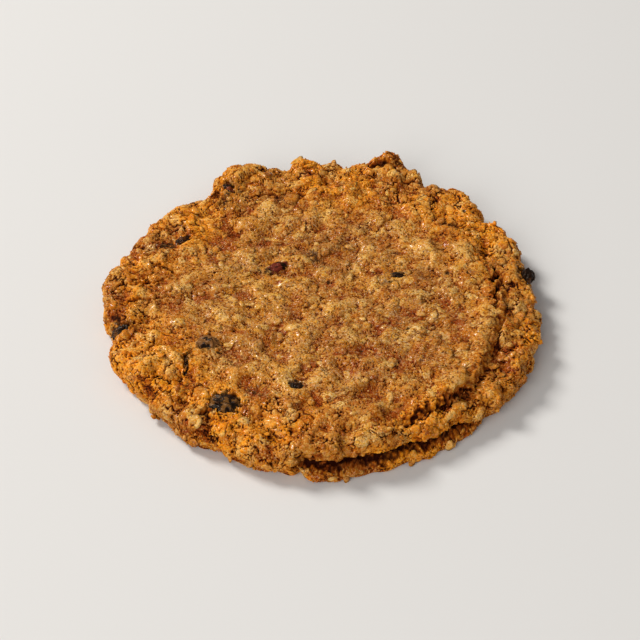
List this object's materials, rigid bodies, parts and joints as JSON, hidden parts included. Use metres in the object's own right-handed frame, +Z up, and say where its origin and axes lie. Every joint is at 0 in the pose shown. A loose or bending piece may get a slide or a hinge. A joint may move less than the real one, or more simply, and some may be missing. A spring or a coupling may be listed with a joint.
{
  "type": "oat and raisin cookie",
  "caption": "Large round oat and raisin cookie, flat underneath, with a craggy browned crust, a smoother middle and raisins seated in it.",
  "frame": {"origin": "on the surface the cookie lies on, under the middle of its outline", "axes": "+Z up through the cookie's thickness, -Y towards the side with the split crust, +X to the right seen from there"},
  "size_m": [0.1969, 0.2012, 0.0191],
  "materials": {
    "baked_dough": "matt, crumbly browned crust",
    "raisin": "wrinkled, slightly glossy skin"
  },
  "bodies": {
    "root": {"cookie": "baked_dough", "raisin_back_left": "raisin", "raisin_front_left": "raisin", "raisin_front_middle": "raisin", "raisin_left_clump": "raisin", "raisin_left_edge": "raisin", "raisin_left_hollow": "raisin", "raisin_middle_left": "raisin", "raisin_middle_red": "raisin", "raisin_middle_right": "raisin", "raisin_right_edge": "raisin"}
  },
  "joints": []
}
